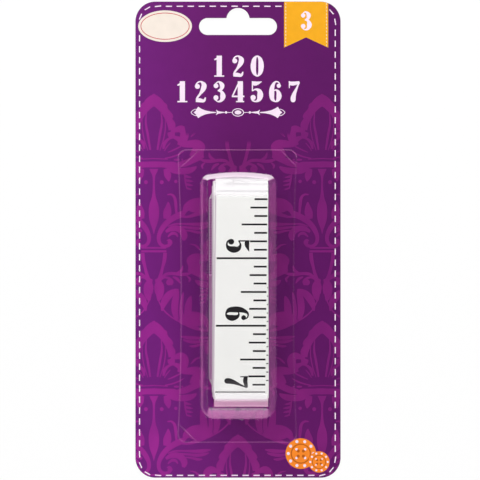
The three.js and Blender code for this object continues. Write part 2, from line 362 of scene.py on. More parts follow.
def brush(points, steps=6):
    """A brush stroke through (x, y, width) points, as a flat strip of faces."""
    line = smooth_line(points, steps)
    vertices, faces = [], []
    for i, (x, y, width) in enumerate(line):
        ahead, behind = line[min(i + 1, len(line) - 1)], line[max(i - 1, 0)]
        dx, dy = ahead[0] - behind[0], ahead[1] - behind[1]
        half = max(width, FINEST_LINE) / 2 / (math.hypot(dx, dy) or 1)
        vertices += [(x + dy * half, y - dx * half), (x - dy * half, y + dx * half)]
        if i:
            faces += [facing_up(vertices, 2 * i - 2, 2 * i, 2 * i + 1),
                      facing_up(vertices, 2 * i - 2, 2 * i + 1, 2 * i - 1)]
    return vertices, faces


def facing_up(vertices, a, b, c):
    """A triangle turned anticlockwise, also where a tight bend has folded a stroke over."""
    (ax, ay), (bx, by), (cx, cy) = vertices[a], vertices[b], vertices[c]
    return [a, b, c] if (bx - ax) * (cy - ay) > (cx - ax) * (by - ay) else [a, c, b]


def circle(x, y, wide, tall, count, turn=0):
    """Points round a circle or an ellipse, from turn steps past its right end."""
    angles = [2 * math.pi * (i + turn) / count for i in range(count)]
    return [(x + wide * math.cos(a), y + tall * math.sin(a)) for a in angles]


def quarter(x, y, radius, number, steps):
    """Points of a quarter circle, anticlockwise. Number 0 starts on the right."""
    angles = [math.pi / 2 * (number + i / steps) for i in range(steps + 1)]
    return [(x + radius * math.cos(a), y + radius * math.sin(a)) for a in angles]


def polygon(*corners):
    return list(corners), [list(range(len(corners)))]


def disc(x, y, radius, tall=None, count=20):
    """A filled circle, or an ellipse where tall is given."""
    return polygon(*circle(x, y, radius, tall or radius, count))


def moved(shape, across=0, along=0, scale=1, mirrored=False):
    """A flat shape scaled and set in another place. A mirrored one keeps its front to the front."""
    side = -1 if mirrored else 1
    vertices = [(across + side * scale * x, along + scale * y) for x, y in shape[0]]
    return vertices, [face[::-1] if mirrored else face for face in shape[1]]


def both_sides(shapes):
    return shapes + [moved(shape, mirrored=True) for shape in shapes]


def joined(shapes):
    """Shapes as one list of vertices and one of faces."""
    vertices, faces = [], []
    for more, loops in shapes:
        start = len(vertices)
        vertices += more
        faces += [[start + i for i in face] for face in loops]
    return vertices, faces


def one_film(shapes, cuts=()):
    """Flat shapes as one film of ink: where strokes cross, they merge. The film is divided along
    cuts, lines from point to point, so that it can follow a bend."""
    vertices, faces = joined(shapes)
    ends = [Vector(v) for v in vertices] + [Vector(end) for cut in cuts for end in cut]
    lines = [(len(vertices) + 2 * i, len(vertices) + 2 * i + 1) for i in range(len(cuts))]
    points, _, loops, _, _, sources = delaunay_2d_cdt(ends, lines, faces, 1, 1e-4)
    return [tuple(v) for v in points], [loop for loop, source in zip(loops, sources) if source]


def print_piece(name, shapes, layer, ink):
    """Ink on the card's front, one film above the layer below it."""
    vertices, faces = one_film(shapes)
    height = CARD_FRONT + INK * layer
    return mesh_piece(name, [(x, y, height) for x, y in vertices], faces, ink)


# Marks along a path: the scales of the tape and the sewn look of the card

def start_nodes(title, inputs):
    """A geometry tree with named inputs, {name: kind}, their sockets and the function that adds nodes."""
    tree = bpy.data.node_groups.new(title, "GeometryNodeTree")
    for name, kind in inputs.items():
        tree.interface.new_socket(name, in_out="INPUT", socket_type="NodeSocket" + kind)
    tree.interface.new_socket("Print", in_out="OUTPUT", socket_type="NodeSocketGeometry")
    add = nodes_of(tree)
    return tree, add("NodeGroupInput").outputs, add


def finish_nodes(add, instances, ink):
    """Ends a tree: the instances become real meshes of ink."""
    whole = add("GeometryNodeRealizeInstances", {0: instances})
    inked = add("GeometryNodeSetMaterial", {"Geometry": whole, "Material": ink})
    add("NodeGroupOutput", {0: inked})


def marks_tree(every, pivot, reach):
    """Geometry nodes that set a flat mark at each step along a path. every lists the counts that
    have a length of their own; reach moves a mark across the path, in shares of its length."""
    sizes = ["Spacing", "Width", "Thickness"] + [f"Length every {n}" for n in every]
    tree, given, add = start_nodes("marks along a path", {
        "Path": "Geometry", **dict.fromkeys(sizes, "Float"), "Ink": "Material"})
    line = add("GeometryNodeMeshToCurve", {0: given["Path"]})
    steps = add("GeometryNodeResampleCurve", {"Curve": line, "Length": given["Spacing"]}, mode="LENGTH")
    index = add("GeometryNodeInputIndex")
    length = given[f"Length every {every[0]}"]
    for count in every[1:]:
        rest = add("Math", {0: index, 1: float(count)}, operation="MODULO")
        falls = add("Math", {0: rest, 1: 0.5}, operation="LESS_THAN")
        length = add("GeometryNodeSwitch", {
            "Switch": falls, "False": length, "True": given[f"Length every {count}"]}, input_type="FLOAT")
    size = add("CombineXYZ", {"X": length, "Y": given["Width"], "Z": given["Thickness"]})
    tangent = add("GeometryNodeInputTangent")
    turn = add("FunctionNodeAlignRotationToVector", {"Vector": tangent}, axis="Y", pivot_axis=pivot)
    block = add("GeometryNodeMeshCube", {"Size": (1.0, 1.0, 1.0)})
    seat = add("GeometryNodeTransform", {"Geometry": block, "Translation": (reach, 0.0, 0.0)})
    marks = add("GeometryNodeInstanceOnPoints", {
        "Points": steps, "Instance": seat, "Rotation": turn, "Scale": size})
    finish_nodes(add, marks, given["Ink"])
    return tree


def grown(name, base, tree, values):
    """Runs a tree on a base object and keeps the result as a plain mesh piece."""
    modifier = base.modifiers.new("nodes", "NODES")
    modifier.node_group = tree
    for socket in tree.interface.items_tree:
        if socket.in_out == "INPUT" and socket.name in values:
            modifier[socket.identifier] = values[socket.name]
    seen = base.evaluated_get(bpy.context.evaluated_depsgraph_get())
    piece = new_object(name, bpy.data.meshes.new_from_object(seen))
    bpy.data.objects.remove(base)
    return piece


def marks_along(name, path, closed, spacing, width, thickness, lengths, ink, pivot="Z", reach=0.0):
    """Marks of the given lengths, {every: length}, along a path of points in millimetres."""
    count = len(path)
    steps = [(i, (i + 1) % count) for i in range(count if closed else count - 1)]
    base = mesh_piece(name + "_path", path, [], edges=steps)
    values = {"Spacing": spacing * MM, "Width": width * MM, "Thickness": thickness * MM, "Ink": ink}
    values.update({f"Length every {n}": length * MM for n, length in lengths.items()})
    return grown(name, base, marks_tree(list(lengths), pivot, reach), values)


# Tape

def winding():
    """The middle line of the tape from its outer end inwards: (shift, along, height, out along, out up).
    The outer turns lie to the right, the inner ones to the left, as a loose coil telescopes, and
    each turn within them lies a little off the next, so that the layers show at the coil's sides."""
    steps = 28
    lowest = COIL_MIDDLE - COIL_RADIUS + TAPE_THICKNESS / 2
    stations = [(turn_shifts(0)[0], TAIL_END + TIP_COVER, lowest, 0, -1)]

    def bend(centre, height, radius, start, front, back):
        for i in range(steps + 1):
            share = i / steps
            angle = start + math.pi * share
            shift = front + (back - front) * moved_behind(share if start > 0 else 1 - share)
            out_along, out_up = math.cos(angle), math.sin(angle)
            stations.append((shift, centre + radius * out_along, height + radius * out_up, out_along, out_up))

    for loop in range(LOOPS):
        radius = COIL_RADIUS - TAPE_THICKNESS / 2 - loop * PITCH
        innermost = loop == LOOPS - 1
        lower = radius / 2 if innermost else radius - PITCH / 2
        uneven = 0.12 * (1 + math.sin(2.4 * loop)) if loop > 1 else 0
        back, upper_front, lower_front = (shift + uneven for shift in turn_shifts(loop))
        next_back = (INNER_SHIFT if innermost else BACK_SHIFT) + uneven
        bend(TOP_BEND, COIL_MIDDLE, radius, -math.pi / 2, upper_front, back)
        bend(BOTTOM_BEND, COIL_MIDDLE + radius - lower, lower, math.pi / 2, lower_front, next_back)
    stations.append((INNER_SHIFT, INNER_END, COIL_MIDDLE, 0, -1))
    return stations


def moved_behind(share):
    """How far a bend has moved sideways, share of the way round from the front: its last fifth moves."""
    late = min(max(5 * share - 4, 0), 1)
    return late * late * (3 - 2 * late)


def turn_shifts(loop):
    """Sideways places of a turn: at the back, and at the upper and lower front."""
    for last, shifts in ((0, (1.0, 1.42, 0.62)), (1, (BACK_SHIFT, 1.35, 1.6)), (6, (BACK_SHIFT, 0.45, 0.3))):
        if loop <= last:
            return shifts
    return BACK_SHIFT, 0.1, 0.1


def wound_tape(face_cloth, reverse_cloth_with_painted_shade):
    """One ribbon with softened edges along the winding, with its length and width as UV. Its inner
    side, which faces the eye of the coil, is the reverse, tinted lilac: painted shade and a painted
    reflection of the purple card."""
    half, edge = TAPE_THICKNESS / 2, TAPE_WIDTH / 2
    flat = edge - 0.09
    section = [(-flat, -half), (flat, -half), (edge, -half / 2), (edge, half / 2),
               (flat, half), (-flat, half), (-edge, half / 2), (-edge, -half / 2)]
    rows, lengths, travelled = [], [], 0
    stations = winding()
    for i, (shift, along, height, out_along, out_up) in enumerate(stations):
        if i:
            travelled += math.hypot(along - stations[i - 1][1], height - stations[i - 1][2])
        lengths.append(travelled)
        rows.append([(shift + side, along + face * out_along, height + face * out_up)
                     for side, face in section])
    vertices, faces = closed_skin(rows)
    piece = mesh_piece("wound_tape", vertices, faces, face_cloth, reverse_cloth_with_painted_shade, smooth=30)
    for face in range(0, len(faces) - 2, len(section)):
        piece.data.polygons[face].material_index = 1
    sheet = piece.data.uv_layers.new(name="tape")
    for loop in piece.data.loops:
        station, corner = divmod(loop.vertex_index, len(section))
        sheet.data[loop.index].uv = (section[corner][0] * MM, lengths[station] * MM)
    return piece


def on_outer_turn(travel, aside):
    """A place one ink film above the outer turn, travel past the 5 inch line and aside of the tape's
    middle. The turn lies slightly askew on the front."""
    back, upper, lower = turn_shifts(0)
    if travel < FRONT_START:
        angle, radius = (FRONT_START - travel) / COIL_RADIUS, COIL_RADIUS + INK
        x = upper + (back - upper) * moved_behind(angle / math.pi) + aside
        if angle > math.pi:
            return x, TOP_BEND - (angle - math.pi) * COIL_RADIUS, COIL_MIDDLE - radius
        return x, TOP_BEND + radius * math.sin(angle), COIL_MIDDLE + radius * math.cos(angle)
    if travel > FRONT_END:
        angle, radius = (travel - FRONT_END) / LOWER_RADIUS, LOWER_RADIUS + INK
        x = lower + (BACK_SHIFT - lower) * moved_behind(angle / math.pi) + aside
        return x, BOTTOM_BEND - radius * math.sin(angle), COIL_MIDDLE + PITCH / 2 + radius * math.cos(angle)
    x = upper + (lower - upper) * (travel - FRONT_START) / (FRONT_END - FRONT_START) + aside
    return x, FIFTH_INCH_LINE - travel, COIL_MIDDLE + COIL_RADIUS + INK


# Numerals 5.6 wide and 9 tall, drawn with a broad pen: heavy stems, hair lines and ball ends
NUMERALS = {
    "0": [brush([(1.55, 7.3, 1.7), (1.15, 4.5, 2.3), (1.55, 1.7, 1.7), (2.8, .3, .6), (4.05, 1.7, 1.7),
                 (4.45, 4.5, 2.3), (4.05, 7.3, 1.7), (2.8, 8.7, .6), (1.55, 7.3, 1.7), (1.15, 4.5, 2.3)])],
    "1": [brush([(3, .2, 2.2), (3, 8.9, 2.2)]), brush([(.9, 7.2, .5), (2.1, 7.7, .9), (3, 8.6, 1)]),
          brush([(.9, .28, .56), (5.1, .28, .56)])],
    "2": [disc(1.45, 6.7, 1.05), brush([(.75, 7.2, .5), (1.6, 8.35, .6), (3, 8.65, .7), (4.2, 7.3, 2.1),
                                        (3.9, 5.6, 2), (2.6, 3.5, 1), (1.4, 1.9, .8), (1.1, .9, .7)]),
          brush([(.8, .85, 1.5), (2.4, .85, 1.7), (4.2, .65, 1.2), (4.9, 2.1, .4)])],
    "3": [disc(1.4, 6.95, 1), brush([(.7, 7.3, .5), (2.4, 8.65, .6), (3.95, 7.3, 1.9), (3.6, 5.6, 1.3),
                                     (2.2, 4.9, .45)]),
          brush([(2.2, 4.9, .45), (3.7, 4.4, 1.2), (4.3, 2.6, 2.3), (3.7, .9, 1.4), (2.3, .3, .6),
                 (.7, 1.4, .5)]),
          disc(1.4, 1.95, 1.05)],
    "4": [brush([(3.8, 8.9, 2.2), (3.8, .2, 2.2)]), brush([(2, .28, .56), (5.4, .28, .56)]),
          brush([(3.3, 8.6, .6), (.45, 2.6, .6)], 12), brush([(.2, 2.5, .7), (5.5, 2.5, .7)], 12)],
    "thin 4": [brush([(3.9, 8.9, 1.2), (3.9, .2, 1.2)]), brush([(2.4, .22, .44), (5.4, .22, .44)]),
               brush([(3.6, 8.75, .5), (.4, 2.6, .5)], 12), brush([(.3, 2.6, .55), (5.4, 2.6, .55)], 12)],
    "5": [brush([(1.0, 8.9, .5), (1.0, 4.7, .5)]),
          brush([(1.0, 8.05, 1.6), (2.6, 7.95, 1.7), (5.0, 8.75, .2)]),
          brush([(1.0, 4.75, .4), (1.9, 5.35, .6), (2.9, 5.4, 1), (4.0, 4.6, 1.9), (4.3, 3, 2.5),
                 (3.85, 1.35, 1.9), (2.7, .4, .8), (1.3, .6, .6), (.6, 1.5, .6)]),
          disc(1.3, 2, 1.1)],
    "6": [brush([(4.85, 7, .5), (4.3, 8.3, .5), (3.2, 8.7, .6), (2.2, 8, 1.1), (1.4, 6, 1.9),
                 (1.25, 3.8, 2.2), (1.5, 1.5, 1.7), (2.8, .34, .6), (3.9, 1.1, 1.6), (4.35, 2.7, 2.2),
                 (3.9, 4.5, 1.4), (2.9, 5.2, .6), (1.9, 4.6, .4), (1.5, 3.8, .4)]),
          disc(4.25, 7, .9)],
    "7": [brush([(.8, 8.95, .5), (.8, 6, .4)]), brush([(.8, 8.1, 1.4), (2.4, 7.9, 1.7), (5.1, 8.4, 1)]),
          brush([(5, 8.5, .5), (3.9, 5.9, .9), (2.9, 3.6, 1.6), (2.45, 2, 2.1), (2.4, 1.05, 2.1)]),
          disc(2.4, 1.05, 1.05)],
}


def tape_numerals(ink):
    """The inch numbers, lying on their sides with their heads to the right edge. Each ends a little
    before its inch line."""
    cuts = [((x / 4, -1), (x / 4, 10)) for x in range(24)]
    places = (("thin 4", 7.2, 1.5), ("5", 7.5, 1.85), ("6", 7.4, 1.5), ("7", 7.0, 1.3))
    shapes = []
    for inch, (figure, before, after) in enumerate(places, -1):
        points, loops = one_film(NUMERALS[figure], cuts)
        left, right = min(points)[0], max(points)[0]
        vertices = [on_outer_turn(inch * INCH - before + (before - after) * (x - left) / (right - left),
                                  NUMERAL_FOOT + up) for x, up in points]
        # A figure lies on its side, which turns its faces over
        shapes.append((vertices, [face[::-1] for face in loops]))
    return mesh_piece("inch_numerals", *joined(shapes), ink)


def inch_scale(ink):
    """Eighths, quarters, halves and inches, all from the right edge of the outer turn."""
    steps = 400
    path = [on_outer_turn(PRINT_START + (PRINT_END - PRINT_START) * i / steps, TAPE_WIDTH / 2 - 0.3)
            for i in range(steps + 1)]
    lengths = {1: EIGHTH_TICK, 2: 6.4, 4: 9.6, 8: 18.9}
    return marks_along("inch_scale", path, False, spacing=INCH / 8, width=0.7, thickness=INK,
                       lengths=lengths, ink=ink, pivot="X", reach=-0.5)


def second_turn_scale(ink):
    """The scale of the turn below, which shows past the right edge of the outer turn."""
    _, upper, lower = turn_shifts(1)
    path = []
    for eighths in (3.5, 14.5):
        along = FIFTH_INCH_LINE - eighths * INCH / 8
        share = (TOP_BEND - along) / (TOP_BEND - BOTTOM_BEND)
        path.append((upper + (lower - upper) * share + TAPE_WIDTH / 2 - 0.12, along,
                     COIL_MIDDLE + COIL_RADIUS - PITCH + INK))
    return marks_along("second_turn_scale", path, False, spacing=INCH / 8, width=0.38, thickness=INK,
                       lengths={1: EIGHTH_TICK}, ink=ink, pivot="X", reach=-0.5)


def millimetre_scale(ink):
    """The metric side of the tape, seen on the left edge of the back turns inside the coil."""
    radius = EYE_RADIUS - TAPE_THICKNESS / 2
    path = [(BACK_SHIFT - TAPE_WIDTH / 2 + 0.2, y, COIL_MIDDLE - radius + INK)
            for y in (BOTTOM_BEND, TOP_BEND)]
    return marks_along("millimetre_scale", path, False, spacing=1, width=0.22, thickness=INK,
                       lengths={1: 3, 5: 4.5, 10: 6}, ink=ink, pivot="X", reach=0.5)


# Blister

def level(half_width, top, bottom, top_radius, bottom_radius, top_arch=0, bottom_arch=0, waist=0):
    """One level of the shell: a rounded rectangle whose short ends are slightly arched, and whose
    long sides may be drawn in between the corners."""
    corner_steps, arch_steps, side_steps = 12, 12, 16
    points = []
    middle = (top + bottom) / 2
    reach = middle - bottom - bottom_radius
    for side, first_quarter, end, radius, arch in ((1, 0, top, top_radius, top_arch),
                                                   (-1, 2, bottom, bottom_radius, bottom_arch)):
        corner = half_width - radius
        for turn in (0, 1):
            x = side * corner * (1 - 2 * turn)
            y = end - side * (arch + radius)
            points += quarter(x, y, radius, first_quarter + turn, corner_steps)
            if turn == 0:
                for i in range(1, arch_steps):
                    across = 1 - 2 * i / arch_steps
                    points.append((side * corner * across, end - side * arch * across ** 2))
        for i in range(1, side_steps):
            along = 1 - 2 * i / side_steps
            points.append((side * (waist * (1 - abs(along) ** 2.5) - half_width),
                           middle + side * reach * along))
    return points


def dome_levels(inward):
    """One skin of the dome from the flange up, as (height, haze and painted highlight, outline): a flare,
    a drafted wall and a round shoulder."""
    base = SHEET_BACK + SHEET - inward
    front = DOME_FRONT - inward
    flare, shoulder = FLARE + inward, SHOULDER - inward
    flare_steps, wall_steps, shoulder_steps = 6, 8, 8
    heights = []
    for i in range(flare_steps + 1):
        angle = math.pi / 2 * i / flare_steps
        heights.append((base + flare * (1 - math.cos(angle)), flare * (1 - math.sin(angle))))
    wall = front - shoulder - base - flare
    heights += [(base + flare + wall * i / wall_steps, 0) for i in range(1, wall_steps)]
    for i in range(shoulder_steps + 1):
        angle = math.pi / 2 * i / shoulder_steps
        heights.append((front - shoulder * (1 - math.sin(angle)), -shoulder * (1 - math.cos(angle))))
    levels = []
    for height, grow in heights:
        rise = (height - base) / (front - base)
        outset = grow - inward
        top_corner, bottom_corner = (
            base_corner + (FRONT_CORNER - base_corner) * rise + outset
            for base_corner in (BASE_TOP_CORNER, BASE_BOTTOM_CORNER))
        outline = level(
            DOME_HALF_WIDTH - SIDE_DRAFT * rise + outset, DOME_TOP - TOP_DRAFT * rise + outset,
            DOME_BOTTOM + BOTTOM_DRAFT * rise - outset, top_corner, bottom_corner, TOP_ARCH, BOTTOM_ARCH)
        outline = [(x + DOME_FOOT_SHIFT * (1 - rise), y) for x, y in outline]
        levels.append((height, wall_haze_and_highlight(rise, outline), outline))
    return levels


def wall_haze_and_highlight(rise, outline):
    """How much haze and painted highlight the sheet has round one level: most on the end wall that faces
    the hang slot, where the main lamp lights it. The left wall has some at its foot, and the right one
    thinly all the way up."""
    top_hazy_highlight, bottom_hazy_highlight, crest_hazy_highlight, right_hazy_highlight = 0.88, 0.28, 0.12, 0.1
    shares = []
    low, crest = rise <= 0.02, rise >= 0.97
    foot = min(max((0.5 - rise) / 0.15, 0), 1)
    for i in range(len(outline)):
        (x0, y0), (x1, y1) = outline[i - 1], outline[(i + 1) % len(outline)]
        out_y = (x0 - x1) / (math.hypot(x1 - x0, y1 - y0) or 1)
        top = min(max((out_y - 0.5) / 0.2, 0), 1)
        bottom = min(max((-out_y - 0.7) / 0.25, 0), 1)
        side = 0.02 + 0.19 * foot if outline[i][0] < 0 else right_hazy_highlight
        hazy_highlight = side * (1 - max(top, bottom)) + top_hazy_highlight * top + bottom_hazy_highlight * bottom
        shares.append(0.0 if low else crest_hazy_highlight * bottom if crest else hazy_highlight)
    return shares


def flange_level(inset):
    """The flange's outline, inset from its cut edge. Its long sides have shrunk in."""
    outline = level(FLANGE_HALF_WIDTH - inset, FLANGE_TOP - inset, FLANGE_BOTTOM + inset,
                    FLANGE_CORNER - inset, FLANGE_CORNER - inset, waist=FLANGE_WAIST)
    return [(x + FLANGE_SHIFT, y) for x, y in outline]


def edge_haze_and_highlight(x, y):
    """How much haze and painted highlight the flange's cut edge has: most across the top, least along the
    right side.
    """
    if y > FLANGE_TOP - 3:
        return 0.17
    return 0.11 if y < FLANGE_BOTTOM + 3 or x < 0 else 0.045


def give_haze_and_highlight(piece, shares):
    """Gives each vertex of a sheet its share of haze and painted highlight."""
    piece.data.attributes.new("haze_and_highlight", "FLOAT", "POINT").data.foreach_set("value", shares)
    return piece


def blister_sheet(plastic):
    """The whole thermoformed sheet, closed: inner skin, flange edge and outer skin. Its cut edge carries
    some haze and a painted highlight over its last half millimetre."""
    chain = dome_levels(SHEET)[::-1]
    for height, inset, hazy_highlight in ((SHEET_BACK, 0, 0), (SHEET_BACK + SHEET, 0, 1),
                                (SHEET_BACK + SHEET, 0.35, 1), (SHEET_BACK + SHEET, 0.55, 0)):
        outline = flange_level(inset)
        chain.append((height, [hazy_highlight * edge_haze_and_highlight(x, y) for x, y in outline], outline))
    chain += dome_levels(0)
    rows = [[(x, y, height) for x, y in outline] for height, _, outline in chain]
    piece = mesh_piece("blister_sheet", *closed_skin(rows), plastic, smooth=40)
    return give_haze_and_highlight(piece, [share for _, hazy_highlight, _ in chain for share in hazy_highlight])


def flange_creases(plastic):
    """Pale creases that cut off three corners of the flange."""
    ends = ((-14.7, 34.6, -22.6, 27.4), (16.4, 34.6, 22.2, 28.5), (-23, -70.9, -15.8, -77.8))
    vertices, faces = joined([brush([(x0, y0, .2), ((x0 + x1) / 2, (y0 + y1) / 2, .5), (x1, y1, .2)])
                              for x0, y0, x1, y1 in ends])
    height = SHEET_BACK + SHEET + 0.01
    piece = mesh_piece("flange_creases", [(x, y, height) for x, y in vertices], faces, plastic)
    return give_haze_and_highlight(piece, [0.13] * len(vertices))


# Print on the card

def rounded_path(left, right, bottom, top, radius, height):
    """A rounded rectangle as a closed path, anticlockwise from its right side."""
    left, right, bottom, top = left + radius, right - radius, bottom + radius, top - radius
    middles = ((right, top), (left, top), (left, bottom), (right, bottom))
    return [(*point, height) for number, middle in enumerate(middles)
            for point in quarter(*middle, radius, number, 8)]


def sewn_lines(white, cream):
    """The dashed line that looks sewn round the card, and the stitches on both edges of the tag."""
    border = rounded_path(-CARD_HALF_WIDTH + 1.6, CARD_HALF_WIDTH - 2.05, -CARD_HALF_LENGTH + 0.9,
                          CARD_HALF_LENGTH - 1.8, 6, CARD_FRONT + 0.8 * INK)
    yield marks_along("dashed_border", border, True, spacing=4.24, width=2.4, thickness=1.6 * INK,
                      lengths={1: 0.42}, ink=white)
    for name, x in (("tag_stitches_left", TAG_LEFT + 0.65), ("tag_stitches_right", TAG_RIGHT - 0.65)):
        edge = [(x, y, CARD_FRONT + 3 * INK) for y in (CARD_HALF_LENGTH - 0.9, 74.8)]
        yield marks_along(name, edge, False, spacing=1.3, width=0.65, thickness=INK, lengths={1: 0.24},
                          ink=cream)


def tag_shape():
    """A ribbon end that hangs from the card's top edge, with a swallowtail cut. Its right corner
    ends at the card's round corner."""
    middle = (TAG_LEFT + TAG_RIGHT) / 2
    inset = 0.05
    top = CARD_HALF_LENGTH - inset
    round_x, round_y = CARD_HALF_WIDTH - CARD_CORNER, CARD_HALF_LENGTH - CARD_CORNER
    corner = []
    for i in range(7):
        x = TAG_RIGHT + (round_x - TAG_RIGHT) * i / 6
        corner.append((x, round_y + math.sqrt((CARD_CORNER - inset) ** 2 - (x - round_x) ** 2)))
    return [polygon((TAG_LEFT, top), (TAG_LEFT, TAG_POINTS), (middle, TAG_NOTCH), (middle, top)),
            polygon((middle, top), (middle, TAG_NOTCH), (TAG_RIGHT, TAG_POINTS), *corner)]


def ring(x, y, wide, tall, line, count=48):
    """A thin elliptical line."""
    rims = [circle(x, y, wide + grow, tall + grow, count) for grow in (-line / 2, line / 2)]
    faces = [[2 * i, 2 * i + 1, (2 * i + 3) % (2 * count), (2 * i + 2) % (2 * count)] for i in range(count)]
    return [point for pair in zip(*rims) for point in pair], faces


def divider():
    """The ornamental rule under the heading: spearheads, arrowheads and beads about an oval."""
    half = [
        polygon((17.04, 0), (16.3, .62), (15.36, 2.22), (14.2, 1.45), (12.65, .78), (10.6, .34), (8.4, .14),
                (8.4, -.14), (10.6, -.34), (12.65, -.78), (14.2, -1.45), (15.36, -2.22), (16.3, -.62)),
        brush([(15.6, 1.2, .22), (16.8, 1.12, .22), (18.05, 0, .26), (16.8, -1.12, .22), (15.6, -1.2, .22)]),
        polygon((8.1, 0), (8.47, 1.03), (7.5, .46), (5.1, .12), (5.1, -.12), (7.5, -.46), (8.47, -1.03)),
        disc(4.6, 0, .47), brush([(5.2, 0, .2), (2.2, 0, .2)], 1)]
    return both_sides(half) + [ring(0, 0, 2.15, 1.42, .3), disc(0, 0, 1.3, .8)]


def numbers(text, middle, foot, height, pitch):
    """A row of plain numbers, centred."""
    scale = height / 9
    shapes = []
    for i, figure in enumerate(text):
        x = middle + (i - (len(text) - 1) / 2) * pitch - 2.8 * scale
        shapes += [moved(shape, x, foot, scale) for shape in NUMERALS[figure]]
    return shapes


